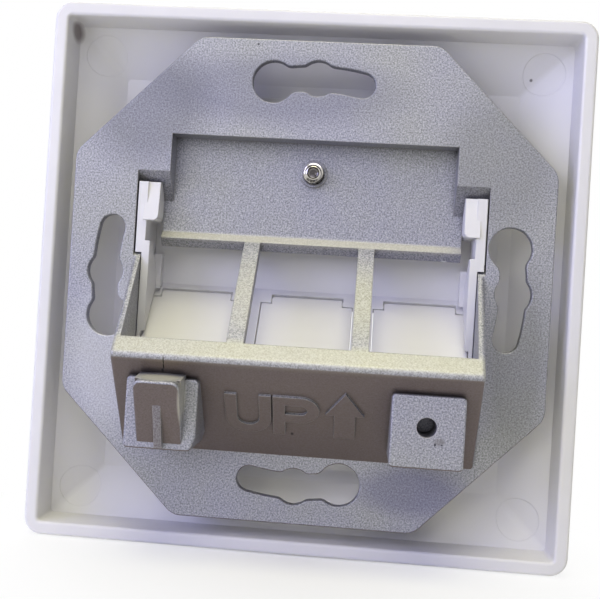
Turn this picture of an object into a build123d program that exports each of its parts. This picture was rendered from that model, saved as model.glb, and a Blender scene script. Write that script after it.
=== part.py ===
import os
from math import cos, radians, sin, sqrt, tan

from build123d import *

# Three-port data wall socket. A zinc casting screws to the wall box and carries the modules on
# a plate tilted by 45 degrees. A white centre plate with three dust flaps is screwed to the
# casting from the room, and holds the white outer frame against it.
# X runs to the right seen from the room, Y into the wall, Z up. The origin is the centre of the
# fixing circle on the wall plane. All sizes are in millimetres.

root2 = sqrt(2)

# Casting: eight-sided ring plate
ring_rim_w = 5.5
ring_side = 35.4
ring_corner_r = 3.0
ring_t = 1.6
ring_edge_r = 0.2

# Casting: fixing slots for the box screws
fixing_circle_d = 60.0
slot_turn = 12.6
slot_head_r = 3.1
slot_middle_r = 2.65
slot_end_r = 1.9
slot_blend_r = 1.4

# Casting: window in the ring and the sunk plate above the modules
window_gap = 0.15
pocket_side_w = 4.8
pocket_foot_z = 15.3
pocket_step_h = 5.6
pocket_depth = 4.1
pocket_wall = 1.4
pocket_plate_t = 1.6
screw_rise = 1.0
screw_collar_r = 1.95
screw_collar_h = 0.5

# Casting: box with the tilted module plate
box_side_rim = 1.3
box_side_t = 0.95
box_draft = 1.8
box_h = 14.0
flank_foot_z = -25.5
sheet_t = 1.8
ridge_r = 0.9
box_edge_r = 0.5

# Casting: module apertures
port_pitch = 17.1
port_places = (-1, 0, 1)
aperture_w = 14.7
aperture_head_rim = 1.4
aperture_foot_rim = 3.5

# Casting: earth block, latch block and raised direction marks on the flank
block_w = 10.0
block_h = 9.9
block_rise = 1.2
block_drop = 2.0
block_edge_r = 0.3
block_corner_r = 0.6
earth_block_inset = 2.5
earth_hole_inset = 0.15
earth_hole_rise = 5.6
earth_hole_r = 1.35
earth_hole_depth = 6.5
latch_block_inset = 2.65
latch_chamfer_w = 0.75
latch_chamfer_h = 2.0
tongue_w = 6.3
tongue_foot_rise = 0.9
tongue_head_drop = 0.2
tongue_rise = 5.4
tongue_head_lean = 0.7
tongue_corner_r = 1.1
tongue_edge_r = 0.25
tongue_front_t = 1.8
tongue_rib_w = 1.1
tongue_rib_h = 0.6
tongue_rib_share = 0.62
mark_h = 0.4
mark_sink = 0.3
mark_stroke = 1.7
mark_foot_s = 5.45
letter_h = 8.1
letter_w = 6.5
letter_u_x = -9.8
letter_p_x = -3.05
letter_bowl_h = 5.3
arrow_x = 7.0
arrow_h = 9.6
arrow_head_h = 4.6
arrow_head_w = 5.4
arrow_stem_w = 2.95

# Outer frame
frame_margin = 4.5
frame_corner_r = 2.6
frame_side_h = 8.3
frame_side_draft = 1.6
frame_front_y = -11.0
frame_flat_w = 3.45
frame_rim_w = 2.0
frame_inner_h = 6.5
frame_inner_draft = 1.8
frame_wall_t = 2.0
frame_inner_flat_w = 2.65
frame_edge_r = 0.45
frame_inner_corner_r = 0.6
frame_opening_gap = 0.25
frame_lip_w = 1.15
frame_lip_t = 1.0
frame_lip_land = 0.55
frame_lip_corner_r = 3.0
frame_rib_t = 1.2
frame_rib_l = 8.0
frame_rib_place = 16.0
ejector_inset = 6.4
ejector_r = 3.1
ejector_depth = 0.08

# Centre plate
plate_side_w = 1.85
plate_corner_r = 1.5
plate_proud = 0.6
plate_t = 1.8
plate_edge_r = 0.5
plate_rim_w = 1.4
upper_wall_y = -8.5
upper_wall_margin = 2.3
port_slope_gap = 8.7
port_slope_t = 1.5
niche_side_t = 0.55
niche_clearance = 0.1
niche_step_gap = 0.2
cheek_gap = 0.25
cheek_inner_t = 1.15
cheek_outer_t = 1.4
cheek_tip_gap = 0.3
cheek_overlap = 1.8
cheek_rear_y = -0.1
hook_head_gap = 1.7
hook_l = 5.7
hook_reach = 2.3
hook_land = 0.85
hook_foot_y = 0.3
hook_head_y = -0.6
hook_corner_r = 0.8
hinge_rib_w = 1.4
hinge_rib_h = 4.5
hinge_rib_rise = 1.8
screw_boss_r = 3.4

# Dust flaps
flap_side_gap = 0.45
flap_l = 11.6
flap_t = 1.4
flap_notch_w = 1.55
flap_shoulder = 1.7
flap_head_r = 0.35
flap_gap = 0.15
flap_head_gap = 0.25
flap_floor_gap = 0.25
flap_pin_r = 0.55
flap_pin_l = 1.35
flap_pin_gap = 0.08
flap_axis_drop = 1.9
flap_grip_w = 8.0
flap_grip_l = 1.0
flap_grip_h = 0.7
flap_grip_inset = 0.5
flap_stop_l = 0.8
flap_stop_t = 0.6

# Label window and fixing screw
label_side_w = 5.5
label_h = 15.0
label_depth = 1.6
label_corner_r = 1.0
label_gap = 0.15
strip_t = 0.2
strip_inset = 0.6
screw_r = 1.5
screw_thread_gap = 0.04
screw_hole_gap = 0.15
screw_head_r = 2.75
screw_head_t = 1.6
screw_end_y = -1.5
screw_end_chamfer = 0.35
screw_cup_r = 0.95
screw_cup_depth = 0.6
screw_slot_w = 0.8
screw_slot_depth = 0.7

# Casting: lengths that follow
ring_across = fixing_circle_d + 2 * ring_rim_w
box_w = (len(port_places) - 1) * port_pitch + aperture_w + 2 * box_side_rim
window_half = box_w / 2 + window_gap
pocket_half = window_half - pocket_side_w
pocket_outer_half = pocket_half + pocket_wall
pocket_top_z = pocket_foot_z + pocket_step_h
pocket_plate_front_y = -pocket_depth - pocket_plate_t
screw_z = pocket_foot_z + screw_rise
ridge_z = flank_foot_z + box_h
aperture_c = box_h + ridge_z
pocket_fold_z = aperture_c + pocket_depth
block_y = box_h - block_drop
block_foot_z = flank_foot_z + block_rise
block_head_z = block_foot_z + block_h
earth_block_x = earth_block_inset + block_w / 2 - box_w / 2
earth_hole_x = earth_block_x + earth_hole_inset
earth_hole_z = block_foot_z + earth_hole_rise
latch_block_x = box_w / 2 - latch_block_inset - block_w / 2
tongue_foot_z = block_foot_z + tongue_foot_rise
tongue_head_z = block_head_z - tongue_head_drop

# Centre plate: lengths that follow
cheek_half = window_half - cheek_gap
plate_size = 2 * (cheek_half + plate_side_w)
plate_front_y = frame_front_y - plate_proud
plate_rear_y = plate_front_y + plate_t
upper_wall_top_z = plate_size / 2 - upper_wall_margin
slope_c = aperture_c - port_slope_gap * root2
fold_z = slope_c - upper_wall_y
slope_front_c = slope_c - port_slope_t * root2
niche_outer_half = box_w / 2 - box_side_t - niche_clearance
niche_half = niche_outer_half - niche_side_t
step_y = -ring_t - niche_step_gap
cheek_foot_z = aperture_c + cheek_tip_gap * root2 - cheek_rear_y
hook_head_z = pocket_foot_z - hook_head_gap
hook_foot_z = hook_head_z - hook_l
hinge_rib_head_z = fold_z + hinge_rib_h
label_w = plate_size - 2 * label_side_w
label_floor_y = plate_front_y + label_depth

# Dust flaps: lengths that follow
flap_w = aperture_w - 2 * flap_side_gap
flap_neck_w = flap_w - 2 * flap_notch_w
flap_axis_z = fold_z - flap_axis_drop
flap_axis_y = slope_c - port_slope_t / root2 - flap_axis_z
flap_head_s = -flap_t / 2
flap_foot_s = flap_head_s + flap_l
flap_shoulder_s = flap_head_s + flap_shoulder
floor_inner_c = flap_axis_y - flap_axis_z + (flap_foot_s + flap_floor_gap) * root2
floor_c = floor_inner_c + port_slope_t * root2

# Outer frame: lengths that follow
frame_size = ring_across + 2 * frame_margin
frame_seat_y = frame_front_y + frame_wall_t
opening_half = plate_size / 2 + frame_opening_gap
ejector_place = frame_size / 2 - ejector_inset
reach = 2 * frame_size


def plate(sketch, rear_y, thickness):
    # A sketch drawn in X and Z, thickened from rear_y towards the room
    plane = Plane(origin=(0, rear_y, 0), x_dir=(1, 0, 0), z_dir=(0, -1, 0))
    return extrude(plane * sketch, amount=thickness)


def prism(outline, x_low, x_high):
    # A closed outline of (y, z) points, drawn out along X
    plane = Plane(origin=(x_low, 0, 0), x_dir=(0, 1, 0), z_dir=(1, 0, 0))
    return extrude(plane * make_face(Polyline(*outline, close=True)), amount=x_high - x_low)


def slab(x_range, y_range, z_range):
    size = [high - low for low, high in (x_range, y_range, z_range)]
    middle = [(high + low) / 2 for low, high in (x_range, y_range, z_range)]
    return Pos(*middle) * Box(*size)


def rod(x, z, radius, rear_y, length):
    return plate(Pos(x, z) * Circle(radius), rear_y, length)


def both_sides(part):
    return part + mirror(part, about=Plane.YZ)


def on_slope(s, n):
    # Point s down the port slope from the flap axis and n behind its middle
    return flap_axis_y + (s + n) / root2, flap_axis_z + (n - s) / root2


def rounded(sketch, radius):
    return fillet(sketch.vertices(), radius)


def polar(radius, angle):
    return radius * cos(radians(angle)), radius * sin(radians(angle))


def fixing_slot(angle):
    radius = fixing_circle_d / 2
    head = polar(radius, angle - slot_turn)
    middle = polar(radius, angle)
    track = CenterArc((0, 0), radius, angle - slot_turn, 2 * slot_turn)
    outline = SlotArc(track, 2 * slot_end_r)
    outline += Pos(*head) * Circle(slot_head_r)
    outline += Pos(*middle) * Circle(slot_middle_r)
    necks = [
        corner
        for corner in outline.vertices()
        if abs((corner.center() - Vector(*head)).length - slot_head_r) < 0.01
        or abs((corner.center() - Vector(*middle)).length - slot_middle_r) < 0.01
    ]
    return fillet(necks, slot_blend_r)


def ring():
    flat, side = ring_across / 2, ring_side / 2
    eighth = [(side, flat), (-side, flat)]
    corners = [(x * c - z * s, x * s + z * c)
               for c, s in ((1, 0), (0, 1), (-1, 0), (0, -1)) for x, z in eighth]
    outline = rounded(make_face(Polyline(*corners, close=True)), ring_corner_r)
    for angle in (90, 180, 270, 360):
        outline -= fixing_slot(angle)
    body = plate(outline, 0, ring_t)
    body = fillet(body.faces().sort_by(Axis.Y)[-1].edges(), ring_edge_r)
    margin = ring_t + 1
    window = prism([(-margin, aperture_c + margin), (-margin, pocket_foot_z - margin),
                    (margin, pocket_foot_z + margin), (margin, aperture_c - margin)],
                   -window_half, window_half)
    notch = slab((-pocket_half, pocket_half), (-margin, margin), (ridge_z, pocket_top_z))
    return body - window - notch


def draft_block(half_w):
    # Block narrowing towards the rear by the casting's draft
    grow = reach * tan(radians(box_draft))
    outline = Polyline((half_w + grow, -reach), (half_w - grow, reach),
                       (grow - half_w, reach), (-half_w - grow, -reach), close=True)
    return Pos(0, 0, -reach / 2) * extrude(make_face(outline), amount=reach)


def pocket():
    # Sunk plate with its head and side walls; its lower end turns into the module plate
    head_c = aperture_c - sheet_t * root2
    rim = aperture_head_rim / root2
    sunk = prism([(-pocket_depth, pocket_top_z), (-pocket_depth, pocket_fold_z),
                  (rim - pocket_depth, pocket_fold_z - rim),
                  (rim - pocket_depth - sheet_t / root2, pocket_fold_z - rim - sheet_t / root2),
                  (pocket_plate_front_y, head_c - pocket_plate_front_y),
                  (pocket_plate_front_y, pocket_top_z)], -pocket_outer_half, pocket_outer_half)
    wall_top_z = pocket_top_z + pocket_wall
    head = slab((-pocket_outer_half, pocket_outer_half), (pocket_plate_front_y, -ring_t / 2),
                (pocket_top_z, wall_top_z))
    side = prism([(-ring_t / 2, wall_top_z), (-ring_t / 2, pocket_foot_z - ring_t / 2),
                  (pocket_plate_front_y, pocket_foot_z + pocket_plate_front_y),
                  (pocket_plate_front_y, wall_top_z)], pocket_half, pocket_outer_half)
    collar = rod(0, screw_z, screw_collar_r, screw_collar_h - pocket_depth, 2 * screw_collar_h)
    return sunk + head + both_sides(side) + collar


def module_box():
    ring_front = -ring_t
    shell = prism([(ring_front, aperture_c - ring_front), (box_h, ridge_z),
                   (0, flank_foot_z), (ring_front, flank_foot_z)], -box_w, box_w)
    shell = (shell & draft_block(box_w / 2)).solid()
    ridge = shell.edges().filter_by(Axis.X).sort_by(Axis.Y)[-1]
    shell = fillet(ridge, ridge_r)
    flank_sides = [edge for edge in shell.edges()
                   if edge.length > box_h and abs(edge.center().X) > box_w / 3
                   and edge.center().Z < ridge_z]
    shell = fillet(flank_sides, box_edge_r)
    return shell


def box_hollow():
    # Room inside the box, and the three apertures opened as one before the mullions go in
    inner_c = aperture_c - sheet_t * root2
    inner_flank_c = -flank_foot_z - sheet_t * root2
    far = reach / 4
    peak = ((inner_c + inner_flank_c) / 2, (inner_c - inner_flank_c) / 2)
    room = prism([(-far, inner_c + far), peak, (-far, -inner_flank_c - far)], -box_w, box_w)
    foot = aperture_foot_rim / root2
    thick = sheet_t / root2
    room += prism([(-far, inner_c - 1 + far), (-far, aperture_c + 1 + far),
                   (box_h - foot + 1, ridge_z + foot + 1),
                   (box_h - foot - thick - 1, ridge_z + foot - thick - 1)], -box_w, box_w)
    return room & draft_block(box_w / 2 - box_side_t)


def mullions():
    foot = aperture_foot_rim / root2
    thick = sheet_t / root2
    head_y, head_z = -pocket_depth, pocket_fold_z
    foot_y, foot_z = box_h - foot / 2, ridge_z + foot / 2
    bar = [(head_y, head_z), (foot_y, foot_z),
           (foot_y - thick, foot_z - thick), (head_y - thick, head_z - thick)]
    return both_sides(prism(bar, aperture_w / 2, port_pitch - aperture_w / 2))


def flank_block(x, foot_z, head_z, top_y):
    root = -flank_foot_z - sheet_t / 2
    body = prism([(top_y, foot_z), (top_y, head_z), (head_z + root, head_z),
                  (foot_z + root, foot_z)], x - block_w / 2, x + block_w / 2)
    return body


def round_block(body):
    body = fillet(body.edges().filter_by(Axis.Y), block_corner_r)
    return fillet(body.faces().sort_by(Axis.Y)[-1].edges(), block_edge_r)


def earth_block():
    return round_block(flank_block(earth_block_x, block_foot_z, block_head_z, block_y))


def latch_block():
    body = flank_block(latch_block_x, block_foot_z, block_head_z, block_y)
    inner_x = latch_block_x - block_w / 2
    corner = Polyline((inner_x - 1, block_foot_z - 1), (inner_x + latch_chamfer_w, block_foot_z - 1),
                      (inner_x + latch_chamfer_w, block_foot_z),
                      (inner_x, block_foot_z + latch_chamfer_h),
                      (inner_x - 1, block_foot_z + latch_chamfer_h), close=True)
    body -= plate(make_face(corner), reach / 2, reach)
    return round_block(body) + tongue()


def tongue():
    # Solid wedge that rises towards its upper end, with a raised rib on its face. Its front has
    # round corners, and the square root shows behind them
    root_y = block_y - 1
    wedge = prism([(root_y, tongue_foot_z), (block_y, tongue_foot_z),
                   (block_y + tongue_rise, tongue_head_z),
                   (block_y, tongue_head_z + tongue_head_lean),
                   (root_y, tongue_head_z + tongue_head_lean)],
                  latch_block_x - tongue_w / 2, latch_block_x + tongue_w / 2)
    upright = [edge for edge in wedge.edges()
               if abs(edge.center().X - latch_block_x) > tongue_w / 3
               and edge.center().Z > tongue_head_z
               and edge.center().Y > block_y]
    wedge = fillet(upright, tongue_corner_r)
    wedge = fillet(wedge.faces().filter_by(lambda face: face.normal_at().Z < -0.1
                                           and face.normal_at().Y > 0.1).edges(), tongue_edge_r)
    step_z = tongue_head_z + tongue_head_lean * tongue_front_t / tongue_rise
    wedge += prism([(root_y, tongue_foot_z + 1), (block_y + tongue_rise - tongue_front_t, step_z),
                    (block_y, tongue_head_z + tongue_head_lean),
                    (root_y, tongue_head_z + tongue_head_lean)],
                   latch_block_x - tongue_w / 2, latch_block_x + tongue_w / 2)
    slope = tongue_rise / (tongue_head_z - tongue_foot_z)
    rib_top_z = tongue_foot_z + tongue_rib_share * (tongue_head_z - tongue_foot_z)
    rib_foot_z = tongue_foot_z - tongue_rib_h
    rib = prism([(root_y, rib_foot_z), (block_y + tongue_rib_h, rib_foot_z),
                 (block_y + slope * (rib_top_z - tongue_foot_z), rib_top_z),
                 (root_y, rib_top_z)],
                latch_block_x - tongue_rib_w / 2, latch_block_x + tongue_rib_w / 2)
    return wedge + rib


def direction_marks():
    # Letters and arrow drawn on the flank, seen from behind with the ridge upwards
    foot, head = mark_foot_s, mark_foot_s + letter_h
    bowl_r = letter_w / 2
    letter_u = Pos(letter_u_x + bowl_r, foot + bowl_r) * Circle(bowl_r)
    letter_u += Pos(letter_u_x + bowl_r, (foot + bowl_r + head) / 2) * Rectangle(
        letter_w, head - foot - bowl_r)
    letter_u -= Pos(letter_u_x + bowl_r, foot + bowl_r) * Circle(bowl_r - mark_stroke)
    letter_u -= Pos(letter_u_x + bowl_r, foot + bowl_r + letter_h / 2) * Rectangle(
        letter_w - 2 * mark_stroke, letter_h)
    stem = Pos(letter_p_x + mark_stroke / 2, (foot + head) / 2) * Rectangle(mark_stroke, letter_h)
    bowl_end_x = letter_p_x + letter_w - letter_bowl_h / 2
    bowl_z = head - letter_bowl_h / 2
    bowl_l = bowl_end_x - letter_p_x - mark_stroke / 2
    bowl_x = bowl_end_x - bowl_l / 2
    inner_h = letter_bowl_h - 2 * mark_stroke
    letter_p = Pos(bowl_x, bowl_z) * Rectangle(bowl_l, letter_bowl_h)
    letter_p += Pos(bowl_end_x, bowl_z) * Circle(letter_bowl_h / 2)
    letter_p -= Pos(bowl_x, bowl_z) * Rectangle(bowl_l, inner_h)
    letter_p -= Pos(bowl_end_x, bowl_z) * Circle(inner_h / 2)
    letter_p += stem
    arrow_top = foot + arrow_h
    arrow_neck = arrow_top - arrow_head_h
    half_head, half_stem = arrow_head_w / 2, arrow_stem_w / 2
    arrow = make_face(Polyline((arrow_x, arrow_top), (arrow_x - half_head, arrow_neck),
                               (arrow_x - half_stem, arrow_neck), (arrow_x - half_stem, foot),
                               (arrow_x + half_stem, foot), (arrow_x + half_stem, arrow_neck),
                               (arrow_x + half_head, arrow_neck), close=True))
    sink = mark_sink / root2
    flank = Plane(origin=(0, -sink, flank_foot_z + sink), x_dir=(-1, 0, 0), z_dir=(0, 1, -1))
    return extrude(flank * (letter_u + letter_p + arrow), amount=mark_sink + mark_h)


def mounting_frame():
    body = ring() + module_box() - box_hollow()
    body += pocket() + mullions() + earth_block() + latch_block() + direction_marks()
    body -= rod(earth_hole_x, earth_hole_z, earth_hole_r, block_y + 1, earth_hole_depth + 1)
    body -= rod(0, screw_z, screw_r + screw_thread_gap, 0, reach / 4)
    return body


def taper(rear, rear_y, front, front_y):
    def plane(y):
        return Plane(origin=(0, y, 0), x_dir=(1, 0, 0), z_dir=(0, -1, 0))
    return loft([plane(rear_y) * rear, plane(front_y) * front])


def frame_cavity():
    rear_half = frame_size / 2 - frame_rim_w
    step_half_w = rear_half - frame_inner_h * tan(radians(frame_inner_draft))
    flat = 2 * (opening_half + frame_inner_flat_w)
    step = RectangleRounded(2 * step_half_w, 2 * step_half_w, frame_inner_corner_r)
    wall = taper(RectangleRounded(2 * rear_half, 2 * rear_half, frame_inner_corner_r), 0,
                 step, -frame_inner_h)
    slope = taper(step, -frame_inner_h, RectangleRounded(flat, flat, frame_inner_corner_r),
                  frame_seat_y)
    return wall + slope


def outer_frame():
    front_size = frame_size - 2 * frame_side_h * tan(radians(frame_side_draft))
    flat = 2 * (opening_half + frame_flat_w)
    side = RectangleRounded(frame_size, frame_size, frame_corner_r)
    shoulder = RectangleRounded(front_size, front_size, frame_corner_r)
    body = taper(side, 0, shoulder, -frame_side_h)
    body += taper(shoulder, -frame_side_h, RectangleRounded(flat, flat, frame_corner_r / 2),
                  frame_front_y)
    cavity = frame_cavity()
    body -= cavity
    body = fillet(body.faces().sort_by(Axis.Y)[-1].edges(), frame_edge_r)
    pins = [rod(x, z, ejector_r, 0, reach / 4)
            for x in (-ejector_place, ejector_place) for z in (-ejector_place, ejector_place)]
    for pin in pins:
        body -= pin & (Pos(0, -ejector_depth, 0) * cavity)
    opening = 2 * opening_half
    body -= plate(RectangleRounded(opening, opening, plate_corner_r + frame_opening_gap), 0, reach / 4)
    inner = opening - 2 * frame_lip_w
    outer = opening + 2 * frame_lip_land
    lip = RectangleRounded(outer, outer, frame_lip_corner_r)
    lip -= RectangleRounded(inner, inner, plate_corner_r)
    body += plate(lip, frame_seat_y + frame_lip_t, frame_lip_t)
    rib_z = outer / 2 - frame_rib_t / 2
    for turn in (0, 90, 180, 270):
        for place in (-frame_rib_place, frame_rib_place):
            rib = Rot(0, 0, turn) * Pos(place, rib_z) * Rectangle(frame_rib_l, frame_rib_t)
            body += plate(rib, -ring_t, -ring_t - frame_seat_y - frame_lip_t)
    return body


def port_opening(x):
    half = flap_w / 2 + flap_gap
    neck_half = flap_neck_w / 2 + flap_gap
    deep = port_slope_t
    head, foot = flap_head_s - flap_head_gap, flap_foot_s + 2 * flap_gap
    cut = prism([on_slope(head, -deep), on_slope(foot, -deep), on_slope(foot, deep),
                 on_slope(head, deep)], x - half, x + half)
    lug_r = port_slope_t / 2
    lug_foot = flap_shoulder_s - flap_gap
    lug_outline = [on_slope(head - 1, -lug_r), on_slope(0, -lug_r), on_slope(0, 0),
                   on_slope(lug_foot, 0), on_slope(lug_foot, lug_r), on_slope(head - 1, lug_r)]
    axis_plane = Plane(origin=(0, flap_axis_y, flap_axis_z), x_dir=(0, 1, 0), z_dir=(1, 0, 0))
    lugs = Part()
    holes = Part()
    for low in (x - half - 1, x + neck_half):
        high = low + half - neck_half + 1
        lugs += prism(lug_outline, low, high)
        lugs += extrude(axis_plane.offset(low) * Circle(lug_r), amount=high - low)
    hole_half = flap_neck_w / 2 + flap_pin_l + flap_gap
    holes = extrude(axis_plane.offset(x - hole_half) * Circle(flap_pin_r + flap_pin_gap),
                    amount=2 * hole_half)
    stop_head = foot - flap_stop_l
    stop_half = half + niche_side_t / 2
    stop = prism([on_slope(stop_head, lug_r), on_slope(foot, lug_r), on_slope(foot, 0),
                  on_slope(foot + lug_r, 0), on_slope(foot + lug_r, lug_r + flap_stop_t),
                  on_slope(stop_head, lug_r + flap_stop_t)], x - stop_half, x + stop_half)
    return cut, lugs, holes, stop


def niche_shell():
    # Port slope, floor and side walls of the niche, standing out behind the panel
    foot_y = (slope_c + floor_c) / 2
    outline = [(upper_wall_y, fold_z), (foot_y, foot_y - floor_c),
               (plate_rear_y, plate_rear_y - floor_c), (plate_rear_y, fold_z)]
    shell = prism(outline, -niche_outer_half, niche_outer_half)
    wide = prism([(upper_wall_y, fold_z), (step_y, slope_c - step_y), (step_y, step_y - floor_c),
                  (plate_rear_y, plate_rear_y - floor_c), (plate_rear_y, fold_z)],
                 -cheek_half, cheek_half)
    return shell + wide


def cheek():
    # Side wall behind the panel: it passes the ring beside the pocket with its snap hook, and
    # runs down inside the box
    joint_z = cheek_foot_z + cheek_overlap
    lower = prism([(cheek_rear_y, slope_c - cheek_rear_y), (cheek_rear_y, joint_z),
                   (step_y, joint_z), (upper_wall_y, fold_z)],
                  niche_outer_half - cheek_inner_t, niche_outer_half)
    upper = prism([(cheek_rear_y, cheek_foot_z), (cheek_rear_y, hook_head_z),
                   (plate_rear_y, hook_head_z), (plate_rear_y, fold_z), (upper_wall_y, fold_z),
                   (step_y, slope_c - step_y), (step_y, cheek_foot_z + cheek_rear_y - step_y)],
                  cheek_half - cheek_outer_t, cheek_half)
    inner_x = cheek_half - hook_land - hook_reach
    hook = prism([(plate_rear_y, hook_foot_z), (hook_foot_y, hook_foot_z),
                  (hook_head_y, hook_head_z), (plate_rear_y, hook_head_z)],
                 inner_x, cheek_half - hook_land)
    inner_foot = [edge for edge in hook.edges().filter_by(Axis.Y)
                  if edge.center().X < inner_x + 0.1 and edge.center().Z < hook_foot_z + 0.1]
    hook = fillet(inner_foot, hook_corner_r)
    root_x = cheek_half - cheek_outer_t
    hinge_rib = prism([(upper_wall_y, hinge_rib_head_z),
                       (upper_wall_y + hinge_rib_rise, hinge_rib_head_z),
                       on_slope(flap_shoulder_s - flap_gap, port_slope_t / 2),
                       (upper_wall_y, fold_z)], root_x - hinge_rib_w, root_x)
    return lower + upper + hook + hinge_rib


def centre_plate():
    panel = RectangleRounded(plate_size, plate_size, plate_corner_r)
    body = plate(panel, plate_rear_y, plate_t)
    body = fillet(body.faces().sort_by(Axis.Y)[0].edges(), plate_edge_r)
    inner = plate_size - 2 * plate_rim_w
    rim = panel - RectangleRounded(inner, inner, plate_corner_r / 2)
    body += plate(rim, frame_seat_y, frame_seat_y - plate_rear_y)
    body += slab((-niche_outer_half, niche_outer_half), (plate_rear_y, upper_wall_y),
                 (fold_z, upper_wall_top_z))
    body += niche_shell()
    front = plate_front_y - 1
    peak = ((slope_front_c + floor_inner_c) / 2, (slope_front_c - floor_inner_c) / 2)
    body -= prism([(front, slope_front_c - front), peak, (front, front - floor_inner_c)],
                  -niche_half, niche_half)
    body += both_sides(cheek())
    for place in port_places:
        cut, lugs, holes, stop = port_opening(place * port_pitch)
        body = body - cut + stop + lugs - holes
    body -= plate(Pos(0, screw_z) * RectangleRounded(label_w, label_h, label_corner_r),
                  label_floor_y, reach / 4)
    boss_l = pocket_plate_front_y - upper_wall_y
    body += rod(0, screw_z, screw_boss_r, pocket_plate_front_y, boss_l + 1)
    body -= rod(0, screw_z, screw_r + screw_hole_gap, 0, reach / 4)
    body -= Pos(0, 0, screw_z) * screw_head(screw_hole_gap)
    return body


def dust_flap(x):
    half_t = flap_t / 2
    neck = prism([on_slope(flap_head_s, -half_t), on_slope(flap_shoulder_s + 1, -half_t),
                  on_slope(flap_shoulder_s + 1, half_t), on_slope(flap_head_s, half_t)],
                 x - flap_neck_w / 2, x + flap_neck_w / 2)
    neck = fillet(neck.edges().filter_by(Axis.X).sort_by(Axis.Z)[-2:], flap_head_r)
    leaf = prism([on_slope(flap_shoulder_s, -half_t), on_slope(flap_foot_s, -half_t),
                  on_slope(flap_foot_s, half_t), on_slope(flap_shoulder_s, half_t)],
                 x - flap_w / 2, x + flap_w / 2)
    grip_foot = flap_foot_s - flap_grip_inset
    grip = prism([on_slope(grip_foot - flap_grip_l, -half_t / 2), on_slope(grip_foot, -half_t / 2),
                  on_slope(grip_foot, -half_t - flap_grip_h),
                  on_slope(grip_foot - flap_grip_l, -half_t - flap_grip_h)],
                 x - flap_grip_w / 2, x + flap_grip_w / 2)
    axis_plane = Plane(origin=(0, flap_axis_y, flap_axis_z), x_dir=(0, 1, 0), z_dir=(1, 0, 0))
    pin_half = flap_neck_w / 2 + flap_pin_l
    pin = extrude(axis_plane.offset(x - pin_half) * Circle(flap_pin_r), amount=2 * pin_half)
    return neck + leaf + grip + pin


def screw_head(gap):
    # Countersunk head, flush with the floor of the label window
    sink = screw_head_r - screw_r
    cone = taper(Circle(screw_r + gap), label_floor_y + screw_head_t + gap,
                 Circle(screw_r + sink + gap), label_floor_y + screw_head_t - sink)
    return cone + rod(0, 0, screw_head_r + gap, label_floor_y + screw_head_t - sink,
                      screw_head_t - sink)


def centre_screw():
    head = screw_head(0)
    shank = rod(0, 0, screw_r, screw_end_y, screw_end_y - label_floor_y - screw_head_t / 2)
    shank = chamfer(shank.edges().sort_by(Axis.Y)[-1], screw_end_chamfer)
    body = head + shank
    body -= rod(0, 0, screw_cup_r, screw_end_y + 1, screw_cup_depth + 1)
    body -= slab((-screw_head_r, screw_head_r), (label_floor_y - 1, label_floor_y + screw_slot_depth),
                 (-screw_slot_w / 2, screw_slot_w / 2))
    return Pos(0, 0, screw_z) * body


def label_strip():
    size = RectangleRounded(label_w - 2 * strip_inset, label_h - 2 * strip_inset, label_corner_r / 2)
    return plate(Pos(0, screw_z) * size, label_floor_y, strip_t)


def label_cover():
    size = RectangleRounded(label_w - 2 * label_gap, label_h - 2 * label_gap,
                            label_corner_r - label_gap)
    body = plate(Pos(0, screw_z) * size, label_floor_y - strip_t, label_depth - strip_t)
    return fillet(body.faces().sort_by(Axis.Y)[0].edges(), label_corner_r / 4)


parts = {
    "mounting_frame": mounting_frame(),
    "outer_frame": outer_frame(),
    "centre_plate": centre_plate(),
    "centre_screw": centre_screw(),
    "label_strip": label_strip(),
    "label_cover": label_cover(),
}
for number, place in enumerate(port_places, start=1):
    parts[f"dust_flap_{number}"] = dust_flap(place * port_pitch)

os.makedirs("parts", exist_ok=True)
for name, part in parts.items():
    export_step(part, f"parts/{name}.step")
    box = part.bounding_box()
    print(name, len(part.solids()), round(part.volume), box.min, box.max)
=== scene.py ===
import bmesh
import bpy
import math
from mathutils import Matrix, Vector


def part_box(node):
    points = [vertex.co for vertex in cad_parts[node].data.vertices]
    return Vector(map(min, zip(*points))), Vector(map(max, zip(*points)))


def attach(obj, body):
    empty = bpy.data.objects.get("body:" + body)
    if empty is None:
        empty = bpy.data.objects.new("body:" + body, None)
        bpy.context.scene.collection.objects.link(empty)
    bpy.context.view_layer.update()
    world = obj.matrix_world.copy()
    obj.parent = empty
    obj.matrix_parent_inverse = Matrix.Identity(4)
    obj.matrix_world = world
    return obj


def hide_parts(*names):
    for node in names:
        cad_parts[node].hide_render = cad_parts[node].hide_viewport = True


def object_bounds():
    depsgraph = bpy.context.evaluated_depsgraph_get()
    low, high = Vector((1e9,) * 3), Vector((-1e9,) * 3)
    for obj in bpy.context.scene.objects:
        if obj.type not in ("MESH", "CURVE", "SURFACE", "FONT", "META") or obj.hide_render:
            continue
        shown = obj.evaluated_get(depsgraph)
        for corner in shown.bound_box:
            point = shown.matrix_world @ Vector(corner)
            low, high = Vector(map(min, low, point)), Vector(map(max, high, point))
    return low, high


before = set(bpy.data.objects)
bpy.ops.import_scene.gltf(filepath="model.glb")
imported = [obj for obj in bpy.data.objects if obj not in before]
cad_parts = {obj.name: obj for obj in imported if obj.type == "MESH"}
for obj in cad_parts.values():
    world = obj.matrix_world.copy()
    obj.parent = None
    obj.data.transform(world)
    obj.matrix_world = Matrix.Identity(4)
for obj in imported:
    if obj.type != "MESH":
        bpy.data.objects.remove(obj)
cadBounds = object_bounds()
print("loaded", len(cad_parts), "nodes")

mm = 0.001


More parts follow.
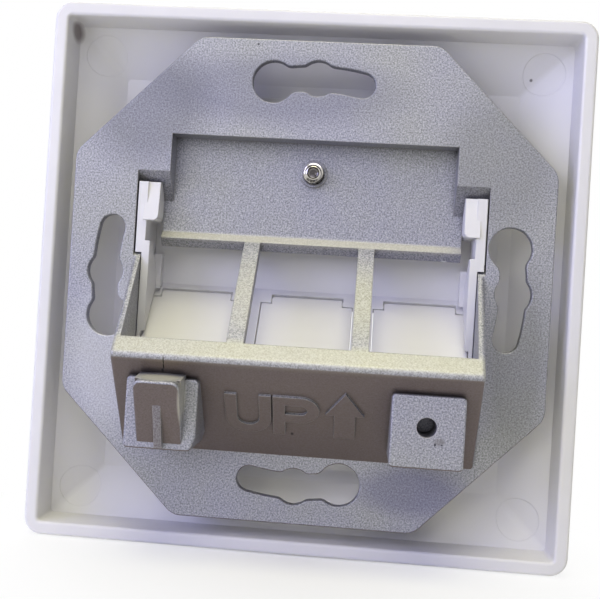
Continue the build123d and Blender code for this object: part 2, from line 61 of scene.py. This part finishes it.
def srgb(hexColour):
    # sRGB hex to the linear values that Blender works in
    digits = hexColour.lstrip("#")
    channels = [int(digits[i:i + 2], 16) / 255 for i in (0, 2, 4)]
    linear = [c / 12.92 if c <= 0.04045 else ((c + 0.055) / 1.055) ** 2.4 for c in channels]
    return (*linear, 1)


def addNode(tree, kind, inputs=None, **settings):
    # Each input takes a value, or the socket that it is linked to. Inputs that share a name go by
    # number: in a colour mix 0 is the share of the upper colour, 6 the lower and 7 the upper one
    node = tree.nodes.new(kind)
    for name, value in settings.items():
        setattr(node, name, value)
    for name, value in (inputs or {}).items():
        if isinstance(value, bpy.types.NodeSocket):
            tree.links.new(value, node.inputs[name])
        else:
            node.inputs[name].default_value = value
    return node


def newMaterial(name):
    material = bpy.data.materials.new(name)
    material.use_nodes = True
    tree = material.node_tree
    tree.nodes.clear()
    shader = addNode(tree, "ShaderNodeBsdfPrincipled")
    addNode(tree, "ShaderNodeOutputMaterial", {"Surface": shader.outputs[0]})
    return material, tree, shader


def setSurface(tree, surface):
    output = next(node for node in tree.nodes if node.type == "OUTPUT_MATERIAL")
    tree.links.new(surface, output.inputs["Surface"])


def dress(nodeName, material):
    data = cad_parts[nodeName].data
    data.materials.clear()
    data.materials.append(material)


markRim = {"full": 0.65, "gone": 1.25}      # shares of a mark's size between which it fades out


def markShare(tree, place, mark):
    # The mark's strength inside a small ellipsoid on the object, 0 outside, with a soft rim
    centre = [c * mm for c in mark["centre"]]
    size = [s * mm for s in mark["size"]]
    local = addNode(tree, "ShaderNodeMapping", {"Vector": place, "Location": centre, "Scale": size},
                    vector_type="TEXTURE").outputs[0]
    away = addNode(tree, "ShaderNodeVectorMath", {0: local}, operation="LENGTH").outputs["Value"]
    return addNode(tree, "ShaderNodeMapRange", {"Value": away, "From Min": markRim["gone"],
                                                "From Max": markRim["full"],
                                                "To Max": mark.get("strength", 1.0)}).outputs[0]


def paintMarks(tree, place, colour, marks):
    # Lays each mark's own colour over the material's colour
    for mark in marks:
        colour = addNode(tree, "ShaderNodeMix", {0: markShare(tree, place, mark), 6: colour,
                                                 7: srgb(mark["colour"])}, data_type="RGBA").outputs[2]
    return colour


def shadeInRecesses(tree, colour, values):
    # Painted shade where a surface is shut in: the less open space it sees, the darker
    space = addNode(tree, "ShaderNodeAmbientOcclusion", {"Distance": values["recessMm"] * mm},
                    samples=8).outputs["AO"]
    share = addNode(tree, "ShaderNodeMapRange", {"Value": space, "From Min": values["recessShadeFrom"],
                                                 "From Max": values["recessShadeFull"],
                                                 "To Max": values["recessShadeShare"]}).outputs[0]
    return addNode(tree, "ShaderNodeMix", {0: share, 6: colour, 7: srgb(values["recessShade"])},
                   data_type="RGBA").outputs[2]


patternRange = (0.3, 0.7)       # nearly all of a noise pattern lies between these


def varyRoughness(tree, shader, pattern, roughness, spread):
    rough = addNode(tree, "ShaderNodeMapRange", {"Value": pattern, "From Min": patternRange[0],
                                                 "From Max": patternRange[1],
                                                 "To Min": roughness + spread[0],
                                                 "To Max": roughness + spread[1]})
    tree.links.new(rough.outputs[0], shader.inputs["Roughness"])


def addRelief(tree, shader, height, values, edge=None):
    relief = addNode(tree, "ShaderNodeBump", {"Strength": values["reliefStrength"],
                                              "Distance": values["reliefMm"] * mm, "Height": height})
    if edge is not None:
        tree.links.new(edge, relief.inputs["Normal"])
    tree.links.new(relief.outputs[0], shader.inputs["Normal"])


zinc = {
    "name": "Zinc alloy, die-cast and blasted",
    "light": "#C0C0C6", "dark": "#6B6C71",
    "grainMm": 0.24,            # chosen so that the grains show
    "grainRange": (0.36, 0.64),
    "coolPatch": "#7C7C96", "warmPatch": "#84857B",
    "patchMm": 16.0, "patchRange": (0.35, 0.65), "patchShare": 0.3,
    "sparkle": "#CFCFCF", "sparkleMm": 0.26, "sparkleRange": (0.64, 0.74), "sparkleShare": 0.5,
    # Below the ridge: painted shade on faces that look down, over a duller brown skin of the mould
    "skinAndShade": "#665850", "skinAndShadeShare": 0.85,
    "skinHeightMm": (-10.0, -11.5),     # it starts at the first height and is full at the second
    "skinSlope": (-0.3, -0.5),          # the same for the height of a face's normal, -1 straight down
    # Paler edges: wear, and a painted highlight along them
    "edgeWearAndHighlight": "#ABA6A0", "edgeMm": 0.18, "edgeWearAndHighlightShare": 0.65,
    "paleEdgeTurn": (0.99, 0.86),           # cosines of the turn at which the paler edge starts and is full
    # Painted shade in recesses, darker where a surface sees little open space
    "recessShade": "#1F1E22", "recessMm": 1.4, "recessShadeShare": 0.75,
    "recessShadeFrom": 0.75, "recessShadeFull": 0.2,  # shares of open space at which the painted shade starts and is full
    "metallic": 0.6, "roughness": 0.5, "roughnessSpread": (-0.08, 0.12),
    "reliefMm": 0.02, "reliefStrength": 0.7,
}
zincMarks = [
    # Dark hairline below the ridge, perhaps a cold shut, in three short pieces
    {"centre": (17.9, 13.5, -12.0), "size": (0.09, 0.7, 0.7), "colour": "#15161B"},
    {"centre": (17.95, 12.7, -12.8), "size": (0.09, 0.6, 0.6), "colour": "#15161B"},
    {"centre": (18.15, 12.1, -13.4), "size": (0.16, 0.4, 0.4), "colour": "#1E1F26", "strength": 0.8},
    # Brownish place beside the earth hole, with two dark specks
    {"centre": (-19.9, 12.0, -20.5), "size": (0.75, 0.3, 0.5), "colour": "#6A6664", "strength": 0.5},
    {"centre": (-19.3, 12.0, -20.9), "size": (0.16, 0.3, 0.2), "colour": "#35353F", "strength": 0.9},
    {"centre": (-20.2, 12.0, -20.9), "size": (0.14, 0.3, 0.12), "colour": "#35353F", "strength": 0.8},
    # Dark specks on the flank and beside the upper slot
    {"centre": (0.4, 3.7, -21.8), "size": (0.22, 0.3, 0.3), "colour": "#2B2524", "strength": 0.9},
    {"centre": (9.1, 0.0, 34.7), "size": (0.16, 0.3, 0.16), "colour": "#2B2B31", "strength": 0.9},
    # Paler faces of the latch: painted light on its top and side faces
    {"centre": (18.1, 15.0, -14.1), "size": (3.3, 3.2, 0.55), "colour": "#DAD7C4", "strength": 0.75},
    {"centre": (14.95, 14.4, -16.8), "size": (0.4, 2.6, 3.4), "colour": "#CDCBBC", "strength": 0.55},
    # Painted glint on a sliver of flash at the end of the lip, and painted shade in the dark ring round the
    # screw
    {"centre": (-20.1, -4.0, 4.35), "size": (0.55, 0.5, 0.16), "colour": "#F4F4F4"},
    {"centre": (0.0, -3.6, 16.3), "size": (1.45, 1.2, 1.45), "colour": "#141416", "strength": 0.9},
    # Lip, bars and ridge round the ports, toned brighter to match the photograph: painted light,
    # creamy where they face up
    {"centre": (0.0, -3.6, 6.1), "size": (44.0, 0.8, 0.8), "colour": "#DCD9C8", "strength": 0.5},
    {"centre": (0.0, 5.0, -1.5), "size": (15.0, 7.5, 8.5), "colour": "#CAC8A8", "strength": 0.2},
    {"centre": (0.0, 12.6, -10.0), "size": (50.0, 2.0, 2.0), "colour": "#C6C4A6", "strength": 0.35},
    # Duller and brighter zones of the ring, toned to match the photograph: painted light and shade with
    # a painted reflection, darker round the top and the right, lighter low on the left
    {"centre": (-17.0, 0.0, -29.5), "size": (8.0, 2.0, 3.5), "colour": "#5F5E7C", "strength": 0.45},
    {"centre": (-31.0, 0.0, -10.0), "size": (4.5, 2.0, 14.0), "colour": "#5C5D56", "strength": 0.4},
    {"centre": (-27.0, 0.0, 19.0), "size": (8.0, 2.0, 10.0), "colour": "#62635C", "strength": 0.3},
    {"centre": (6.0, 0.0, 28.0), "size": (18.0, 2.0, 5.0), "colour": "#5E5E72", "strength": 0.4},
    {"centre": (25.0, 0.0, 25.0), "size": (9.0, 2.0, 9.0), "colour": "#4C4D52", "strength": 0.4},
    {"centre": (28.0, 0.0, -13.0), "size": (7.0, 2.0, 11.0), "colour": "#DCDCE4", "strength": 0.25},
]


def blastedSkin(tree, place, grain):
    # Light and dark grains over wide cool and warm patches, with scattered bright grains
    low, high = zinc["grainRange"]
    tone = addNode(tree, "ShaderNodeMapRange", {"Value": grain, "From Min": low,
                                                "From Max": high}).outputs[0]
    colour = addNode(tree, "ShaderNodeMix", {0: tone, 6: srgb(zinc["dark"]), 7: srgb(zinc["light"])},
                     data_type="RGBA").outputs[2]
    patch = addNode(tree, "ShaderNodeTexNoise", {"Vector": place, "Scale": 1 / (zinc["patchMm"] * mm),
                                                 "Detail": 2.0}).outputs[0]
    low, high = zinc["patchRange"]
    tone = addNode(tree, "ShaderNodeMapRange", {"Value": patch, "From Min": low,
                                                "From Max": high}).outputs[0]
    tint = addNode(tree, "ShaderNodeMix", {0: tone, 6: srgb(zinc["coolPatch"]), 7: srgb(zinc["warmPatch"])},
                   data_type="RGBA").outputs[2]
    colour = addNode(tree, "ShaderNodeMix", {0: zinc["patchShare"], 6: colour, 7: tint},
                     data_type="RGBA").outputs[2]
    glint = addNode(tree, "ShaderNodeTexNoise", {"Vector": place, "Scale": 1 / (zinc["sparkleMm"] * mm),
                                                 "Detail": 1.0}).outputs[0]
    low, high = zinc["sparkleRange"]
    shine = addNode(tree, "ShaderNodeMapRange", {"Value": glint, "From Min": low, "From Max": high,
                                                 "To Max": zinc["sparkleShare"]}).outputs[0]
    return addNode(tree, "ShaderNodeMix", {0: shine, 6: colour, 7: srgb(zinc["sparkle"])},
                   data_type="RGBA").outputs[2]


def skinAndShadeBelowRidge(tree, place, normal, colour):
    # Faces that look down below the ridge are dull and brown, as in the photograph: painted shade,
    # darker the more they look down, over a duller brown skin of the mould
    height = addNode(tree, "ShaderNodeSeparateXYZ", {0: place}).outputs["Z"]
    top, full = zinc["skinHeightMm"]
    below = addNode(tree, "ShaderNodeMapRange", {"Value": height, "From Min": top * mm,
                                                 "From Max": full * mm}).outputs[0]
    slope = addNode(tree, "ShaderNodeSeparateXYZ", {0: normal}).outputs["Z"]
    level, steep = zinc["skinSlope"]
    under = addNode(tree, "ShaderNodeMapRange", {"Value": slope, "From Min": level, "From Max": steep,
                                                 "To Max": zinc["skinAndShadeShare"]}).outputs[0]
    share = addNode(tree, "ShaderNodeMath", {0: under, 1: below}, operation="MULTIPLY").outputs[0]
    return addNode(tree, "ShaderNodeMix", {0: share, 6: colour, 7: srgb(zinc["skinAndShade"])},
                   data_type="RGBA").outputs[2]


def wearAndHighlightOnEdges(tree, normal, edge, colour):
    # Paler edges, where the rounded edge turns away from the flat face: wear with a painted highlight
    level = addNode(tree, "ShaderNodeVectorMath", {0: edge, 1: normal},
                    operation="DOT_PRODUCT").outputs["Value"]
    flat, turned = zinc["paleEdgeTurn"]
    share = addNode(tree, "ShaderNodeMapRange", {"Value": level, "From Min": flat, "From Max": turned,
                                                 "To Max": zinc["edgeWearAndHighlightShare"]}).outputs[0]
    return addNode(tree, "ShaderNodeMix", {0: share, 6: colour, 7: srgb(zinc["edgeWearAndHighlight"])},
                   data_type="RGBA").outputs[2]


def makeZinc():
    # Matte skin of light and dark grains like a blasted casting, with paler edges of wear and painted
    # highlight, and painted shade in corners
    material, tree, shader = newMaterial(zinc["name"])
    place = addNode(tree, "ShaderNodeTexCoord").outputs["Object"]
    normal = addNode(tree, "ShaderNodeNewGeometry").outputs["True Normal"]
    edge = addNode(tree, "ShaderNodeBevel", {"Radius": zinc["edgeMm"] * mm}, samples=6).outputs[0]
    grain = addNode(tree, "ShaderNodeTexNoise", {"Vector": place, "Scale": 1 / (zinc["grainMm"] * mm),
                                                 "Detail": 3.0, "Roughness": 0.65}).outputs[0]
    colour = blastedSkin(tree, place, grain)
    colour = skinAndShadeBelowRidge(tree, place, normal, colour)
    colour = wearAndHighlightOnEdges(tree, normal, edge, colour)
    colour = shadeInRecesses(tree, colour, zinc)
    tree.links.new(paintMarks(tree, place, colour, zincMarks), shader.inputs["Base Color"])
    shader.inputs["Metallic"].default_value = zinc["metallic"]
    varyRoughness(tree, shader, grain, zinc["roughness"], zinc["roughnessSpread"])
    addRelief(tree, shader, grain, zinc, edge)
    return material


dress("mounting_frame", makeZinc())
print("zinc casting dressed")

whiteAbs = {
    "frameName": "ABS, moulded white frame", "plateName": "ABS, moulded white plate",
    "flapName": "ABS, moulded white flap",
    "colour": "#E3E2E1", "shade": "#DFDEDD", "cloudMm": 14.0, "cloudRange": (0.35, 0.65),
    "ior": 1.53, "roughness": 0.36, "flapRoughness": 0.39, "roughnessSpread": (-0.03, 0.04),
    "orangePeelMm": 0.9, "reliefMm": 0.006, "reliefStrength": 0.4, "edgeMm": 0.15,
}
frameMarks = [
    # Dark speck, and painted shade as a brown smear in one inner corner
    {"centre": (-31.8, -8.0, 32.8), "size": (0.24, 1.2, 0.24), "colour": "#4A4648", "strength": 0.8},
    {"centre": (38.0, -5.0, 36.6), "size": (1.0, 2.5, 1.6), "colour": "#6D5F5B", "strength": 0.8},
]


def makeAbs(name, roughness, marks):
    # Satin white with a faint orange peel and soft edges
    material, tree, shader = newMaterial(name)
    place = addNode(tree, "ShaderNodeTexCoord").outputs["Object"]
    cloud = addNode(tree, "ShaderNodeTexNoise", {"Vector": place, "Scale": 1 / (whiteAbs["cloudMm"] * mm),
                                                 "Detail": 2.0}).outputs[0]
    low, high = whiteAbs["cloudRange"]
    tone = addNode(tree, "ShaderNodeMapRange", {"Value": cloud, "From Min": low,
                                                "From Max": high}).outputs[0]
    colour = addNode(tree, "ShaderNodeMix", {0: tone, 6: srgb(whiteAbs["colour"]),
                                             7: srgb(whiteAbs["shade"])}, data_type="RGBA").outputs[2]
    tree.links.new(paintMarks(tree, place, colour, marks), shader.inputs["Base Color"])
    shader.inputs["IOR"].default_value = whiteAbs["ior"]
    peel = addNode(tree, "ShaderNodeTexNoise", {"Vector": place,
                                                "Scale": 1 / (whiteAbs["orangePeelMm"] * mm),
                                                "Detail": 2.0}).outputs[0]
    varyRoughness(tree, shader, peel, roughness, whiteAbs["roughnessSpread"])
    edge = addNode(tree, "ShaderNodeBevel", {"Radius": whiteAbs["edgeMm"] * mm}, samples=4).outputs[0]
    addRelief(tree, shader, peel, whiteAbs, edge)
    return material


dress("outer_frame", makeAbs(whiteAbs["frameName"], whiteAbs["roughness"], frameMarks))
dress("centre_plate", makeAbs(whiteAbs["plateName"], whiteAbs["roughness"], []))
flapWhite = makeAbs(whiteAbs["flapName"], whiteAbs["flapRoughness"], [])
for number in (1, 2, 3):
    dress(f"dust_flap_{number}", flapWhite)
print("white mouldings dressed")

paper = {
    "name": "Paper, uncoated white", "light": "#FCFBFC", "dark": "#F3F1F2", "roughness": 0.9,
    "fibreMm": 0.25, "fibreRange": (0.4, 0.65), "reliefMm": 0.01, "reliefStrength": 0.3,
}


def makePaper():
    # Pressed fibre: matte, with faint flecks
    material, tree, shader = newMaterial(paper["name"])
    place = addNode(tree, "ShaderNodeTexCoord").outputs["Object"]
    fibre = addNode(tree, "ShaderNodeTexNoise", {"Vector": place, "Scale": 1 / (paper["fibreMm"] * mm),
                                                 "Detail": 4.0, "Roughness": 0.7}).outputs[0]
    low, high = paper["fibreRange"]
    tone = addNode(tree, "ShaderNodeMapRange", {"Value": fibre, "From Min": low,
                                                "From Max": high}).outputs[0]
    colour = addNode(tree, "ShaderNodeMix", {0: tone, 6: srgb(paper["light"]), 7: srgb(paper["dark"])},
                     data_type="RGBA").outputs[2]
    tree.links.new(colour, shader.inputs["Base Color"])
    shader.inputs["Roughness"].default_value = paper["roughness"]
    addRelief(tree, shader, fibre, paper)
    return material


clearCover = {
    "name": "Polycarbonate, clear moulded", "colour": "#FFFFFF", "ior": 1.585,
    "roughness": 0.04, "roughnessSpread": (0.0, 0.03), "waveMm": 12.0,
}


def makeClear():
    # Sharp gloss with a slow wave in it, and the paper shows through
    material, tree, shader = newMaterial(clearCover["name"])
    place = addNode(tree, "ShaderNodeTexCoord").outputs["Object"]
    wave = addNode(tree, "ShaderNodeTexNoise", {"Vector": place, "Scale": 1 / (clearCover["waveMm"] * mm),
                                                "Detail": 1.0}).outputs[0]
    shader.inputs["Base Color"].default_value = srgb(clearCover["colour"])
    shader.inputs["Transmission Weight"].default_value = 1.0
    shader.inputs["IOR"].default_value = clearCover["ior"]
    varyRoughness(tree, shader, wave, clearCover["roughness"], clearCover["roughnessSpread"])
    # The lamps shine through it onto the paper
    lampRay = addNode(tree, "ShaderNodeLightPath").outputs["Is Shadow Ray"]
    clear = addNode(tree, "ShaderNodeBsdfTransparent").outputs[0]
    mixed = addNode(tree, "ShaderNodeMixShader", {0: lampRay, 1: shader.outputs[0], 2: clear})
    setSurface(tree, mixed.outputs[0])
    return material


dress("label_strip", makePaper())
dress("label_cover", makeClear())
print("label dressed")

steel = {
    "name": "Steel, nickel plated", "colour": "#C6C2BC",
    "roughness": 0.16, "roughnessSpread": (-0.06, 0.12), "patchMm": 0.3,
    # Painted shade in the cup and the roots of the thread, where little open space is seen
    "recessShade": "#141416", "recessMm": 0.7, "recessShadeFrom": 0.95, "recessShadeFull": 0.45, "recessShadeShare": 0.95,
}
steelMarks = [
    # Dull cup in the end and dark lower side of the thread: painted shade
    {"centre": (0.0, -2.0, 16.3), "size": (0.75, 0.5, 0.75), "colour": "#3A363C", "strength": 0.9},
    {"centre": (-0.9, -2.7, 15.4), "size": (1.4, 0.95, 1.4), "colour": "#1C1B1E", "strength": 0.9},
]


def makeSteel():
    # Bright plating with small smoother and duller places, and painted shade in recesses and marks
    material, tree, shader = newMaterial(steel["name"])
    place = addNode(tree, "ShaderNodeTexCoord").outputs["Object"]
    patch = addNode(tree, "ShaderNodeTexNoise", {"Vector": place, "Scale": 1 / (steel["patchMm"] * mm),
                                                 "Detail": 2.0}).outputs[0]
    colour = shadeInRecesses(tree, srgb(steel["colour"]), steel)
    tree.links.new(paintMarks(tree, place, colour, steelMarks), shader.inputs["Base Color"])
    shader.inputs["Metallic"].default_value = 1.0
    varyRoughness(tree, shader, patch, steel["roughness"], steel["roughnessSpread"])
    return material


screw = {
    # Millimetres. Each point of an outline is a distance along the axis and a radius: the head's
    # from its face on, the end's back from the end, round the lip and down into the cup
    "headOutline": [(0.0, 0.0), (0.0, 2.62), (0.1, 2.72), (0.38, 2.72), (1.6, 1.44)],
    "endOutline": [(0.3, 1.25), (0.06, 1.06), (0.0, 0.92), (0.08, 0.87), (0.1925, 0.84), (0.44, 0.7224),
                   (0.55, 0.45), (0.55, 0.0)],
    "crestR": 1.5, "rootR": 1.2, "pitch": 0.5,
    "threadFrom": 1.85, "runInL": 0.4, "runOutL": 0.15, "runOutLeft": 0.3,
    "rootFill": 0.8, "crestLeft": 0.4,      # at a faded end: how full the groove, how high the crest
    "crestTop": 1.25, "flankFall": 2.75,    # above 1 the crest is flat, and it falls by this in a turn
    "slotW": 0.8, "slotDepth": 0.7, "slotReach": 3.264,
    "around": 64, "stepsPerTurn": 12,
}


def threadRadius(along, turn, end):
    # Trapezoid crest wound as a helix, fading at both ends of the thread
    phase = (along / screw["pitch"] - turn) % 1.0
    crest = screw["crestTop"] - screw["flankFall"] * min(phase, 1 - phase)
    crest = max(0.0, min(1.0, crest))
    full = min(1.0, (along - screw["threadFrom"]) / screw["runInL"],
               (end - along) / screw["runOutL"] + screw["runOutLeft"])
    groove = screw["crestR"] - screw["rootR"]
    root = screw["rootR"] + groove * max(0.0, 1 - full) * screw["rootFill"]
    return root + (screw["crestR"] - root) * crest * min(1.0, full + screw["crestLeft"])


def screwRings(length):
    # From the head to the cup: each ring is a distance along the axis and a radius for every step round it
    around = screw["around"]
    end = length - screw["endOutline"][0][0]
    count = int((end - screw["threadFrom"]) / screw["pitch"] * screw["stepsPerTurn"])
    rings = [(along, [radius] * around) for along, radius in screw["headOutline"]]
    for step in range(count):
        along = screw["threadFrom"] + (end - screw["threadFrom"]) * step / count
        rings.append((along, [threadRadius(along, i / around, end) for i in range(around)]))
    rings += [(length - back, [radius] * around) for back, radius in screw["endOutline"]]
    return rings


def latheScrew(axisX, headY, axisZ, length):
    # A point for every radius of every ring, and four-sided faces between each ring and the last one
    around = screw["around"]
    points = []
    faces = []
    for row, (along, radii) in enumerate(screwRings(length)):
        for i, radius in enumerate(radii):
            angle = 2 * math.pi * i / around
            points.append((axisX + radius * mm * math.cos(angle), headY + along * mm,
                           axisZ + radius * mm * math.sin(angle)))
            if row:
                here, beside = row * around + i, row * around + (i + 1) % around
                faces.append((here - around, here, beside, beside - around))
    mesh = bpy.data.meshes.new("centre_screw_threaded")
    mesh.from_pydata(points, [], faces)
    # The rings of radius 0 become one point each, which closes the head and the cup
    work = bmesh.new()
    work.from_mesh(mesh)
    bmesh.ops.remove_doubles(work, verts=work.verts, dist=0.0005 * mm)
    bmesh.ops.recalc_face_normals(work, faces=work.faces)
    work.to_mesh(mesh)
    work.free()
    return mesh


def makeSlotCutter(axisX, headY, axisZ):
    half = screw["slotW"] / 2 * mm
    reach = screw["slotReach"] * mm
    depth = screw["slotDepth"] * mm
    corners = [(axisX + x, headY + y, axisZ + z)
               for y in (-depth, depth) for x in (-reach, reach) for z in (-half, half)]
    sides = [(0, 1, 3, 2), (4, 6, 7, 5), (0, 4, 5, 1), (2, 3, 7, 6), (0, 2, 6, 4), (1, 5, 7, 3)]
    mesh = bpy.data.meshes.new("slotCutter")
    mesh.from_pydata(corners, [], sides)
    cutter = bpy.data.objects.new("slotCutter", mesh)
    bpy.context.scene.collection.objects.link(cutter)
    return cutter


def cutSlot(piece, cutter):
    # The cut becomes part of the mesh, and all edges but the sharp ones are shaded smooth
    cut = piece.modifiers.new("driver slot", "BOOLEAN")
    cut.operation = "DIFFERENCE"
    cut.solver = "EXACT"
    cut.object = cutter
    bpy.context.view_layer.update()
    result = bpy.data.meshes.new_from_object(piece.evaluated_get(bpy.context.evaluated_depsgraph_get()))
    piece.modifiers.clear()
    piece.data = result
    bpy.data.objects.remove(cutter)
    for face in result.polygons:
        face.use_smooth = True
    result.set_sharp_from_angle(angle=math.radians(35))


def makeScrew(material):
    # Lathed outline with a true helical thread, a rounded cup end and a slotted countersunk head
    low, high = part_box("centre_screw")
    axisX = (low.x + high.x) / 2
    axisZ = (low.z + high.z) / 2
    mesh = latheScrew(axisX, low.y, axisZ, (high.y - low.y) / mm)
    piece = bpy.data.objects.new("centre_screw_threaded", mesh)
    bpy.context.scene.collection.objects.link(piece)
    cutSlot(piece, makeSlotCutter(axisX, low.y, axisZ))
    piece.data.materials.clear()
    piece.data.materials.append(material)
    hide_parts("centre_screw")
    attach(piece, "socket")


makeScrew(makeSteel())
print("screw made")

studio = {
    "worldLight": "#CCCCF2", "worldStrength": 0.1,
    "floorColour": "#FFFFFF", "floorRoughness": 0.9, "floorSpecular": 0.1,
    "floorSide": 6.0, "floorGapMm": 0.2,
    # The floor turns to plain white between these distances from the middle, in metres. The first
    # is below 0, so the shadow is a little pale even under the socket
    "shadowFrom": -0.03, "shadowTo": 0.06,
}


def seenDirectly(tree):
    # 1 for the camera, in reflections and through clear parts, 0 for all other light
    rays = addNode(tree, "ShaderNodeLightPath").outputs
    seen = addNode(tree, "ShaderNodeMath", {0: rays["Is Camera Ray"], 1: rays["Is Glossy Ray"]},
                   operation="MAXIMUM").outputs[0]
    return addNode(tree, "ShaderNodeMath", {0: seen, 1: rays["Is Transmission Ray"]},
                   operation="MAXIMUM").outputs[0]


def makeWorld():
    # White for the camera and in reflections, a soft cool light for everything else
    world = bpy.data.worlds.new("Studio")
    bpy.context.scene.world = world
    world.use_nodes = True
    tree = world.node_tree
    tree.nodes.clear()
    ambient = addNode(tree, "ShaderNodeBackground", {"Color": srgb(studio["worldLight"]),
                                                     "Strength": studio["worldStrength"]}).outputs[0]
    white = addNode(tree, "ShaderNodeBackground", {"Color": (1, 1, 1, 1), "Strength": 1.0}).outputs[0]
    mixed = addNode(tree, "ShaderNodeMixShader", {0: seenDirectly(tree), 1: ambient, 2: white})
    addNode(tree, "ShaderNodeOutputWorld", {"Surface": mixed.outputs[0]})


def makeFloorMaterial():
    # Pale table under the lower edge of the frame. Away from the object it turns to plain white,
    # and a camera that is below it looks through it
    material, tree, shader = newMaterial("Studio floor")
    shader.inputs["Base Color"].default_value = srgb(studio["floorColour"])
    shader.inputs["Roughness"].default_value = studio["floorRoughness"]
    shader.inputs["Specular IOR Level"].default_value = studio["floorSpecular"]
    place = addNode(tree, "ShaderNodeTexCoord").outputs["Object"]
    flat = addNode(tree, "ShaderNodeVectorMath", {0: place, 1: (1, 1, 0)}, operation="MULTIPLY").outputs[0]
    away = addNode(tree, "ShaderNodeVectorMath", {0: flat}, operation="LENGTH").outputs["Value"]
    pale = addNode(tree, "ShaderNodeMapRange", {"Value": away, "From Min": studio["shadowFrom"],
                                                "From Max": studio["shadowTo"]},
                   interpolation_type="SMOOTHSTEP").outputs[0]
    share = addNode(tree, "ShaderNodeMath", {0: seenDirectly(tree), 1: pale},
                    operation="MULTIPLY").outputs[0]
    white = addNode(tree, "ShaderNodeEmission", {"Color": (1, 1, 1, 1), "Strength": 1.0}).outputs[0]
    table = addNode(tree, "ShaderNodeMixShader", {0: share, 1: shader.outputs[0], 2: white}).outputs[0]
    underside = addNode(tree, "ShaderNodeNewGeometry").outputs["Backfacing"]
    cameraRay = addNode(tree, "ShaderNodeLightPath").outputs["Is Camera Ray"]
    fromBelow = addNode(tree, "ShaderNodeMath", {0: cameraRay, 1: underside},
                        operation="MULTIPLY").outputs[0]
    clear = addNode(tree, "ShaderNodeBsdfTransparent").outputs[0]
    mixed = addNode(tree, "ShaderNodeMixShader", {0: fromBelow, 1: table, 2: clear})
    setSurface(tree, mixed.outputs[0])
    return material


def makeFloor():
    low, high = cadBounds
    height = low.z - studio["floorGapMm"] * mm
    half = studio["floorSide"] / 2
    corners = [(-half, -half, height), (half, -half, height), (half, half, height), (-half, half, height)]
    mesh = bpy.data.meshes.new("floor")
    mesh.from_pydata(corners, [], [(0, 1, 2, 3)])
    mesh.materials.append(makeFloorMaterial())
    floor = bpy.data.objects.new("floor", mesh)
    bpy.context.scene.collection.objects.link(floor)


lamps = {
    # Square lamps, each turned to the socket: place and size in metres, power in watts
    "ceiling": {"place": (0.0, 0.18, 0.48), "size": 0.3, "power": 1.5, "colour": "#FFFBD2"},
    "window": {"place": (0.42, 0.3, 0.16), "size": 0.3, "power": 1.55, "colour": "#BEC0FF"},
    "besideCamera": {"place": (0.22, 0.48, 0.12), "size": 0.14, "power": 0.26, "colour": "#FFFFFF"},
    "aboveCamera": {"place": (0.0, 0.42, 0.3), "size": 0.25, "power": 0.45, "colour": "#F6F4FF"},
    "room": {"place": (0.15, -0.6, 0.4), "size": 0.6, "power": 3.4, "colour": "#FFFFFF"},
}


def makeLamps():
    for name, lamp in lamps.items():
        data = bpy.data.lights.new(name, "AREA")
        data.size = lamp["size"]
        data.energy = lamp["power"]
        data.color = srgb(lamp["colour"])[:3]
        light = bpy.data.objects.new(name, data)
        light.location = lamp["place"]
        light.rotation_euler = (-Vector(lamp["place"])).to_track_quat("-Z", "Y").to_euler()
        light.visible_camera = False
        bpy.context.scene.collection.objects.link(light)


photoCamera = {
    # The photograph's view: from behind, close by and a little towards -X
    "place": (-9.01 * mm, 159.05 * mm, -2.89 * mm),
    "turnDegrees": (90.382, -3.555, -174.887),
    "lens": 65.17, "sensor": 36.0, "shift": (0.0515, -0.0114), "clipStart": 0.01,
}


def makeCamera():
    data = bpy.data.cameras.new("camera")
    data.lens = photoCamera["lens"]
    data.sensor_width = photoCamera["sensor"]
    data.shift_x, data.shift_y = photoCamera["shift"]
    data.clip_start = photoCamera["clipStart"]
    camera = bpy.data.objects.new("camera", data)
    camera.location = photoCamera["place"]
    camera.rotation_euler = [math.radians(a) for a in photoCamera["turnDegrees"]]
    bpy.context.scene.collection.objects.link(camera)
    bpy.context.scene.camera = camera


makeWorld()
makeFloor()
makeLamps()
makeCamera()
bpy.context.scene.view_settings.view_transform = "Standard"
print("studio done")
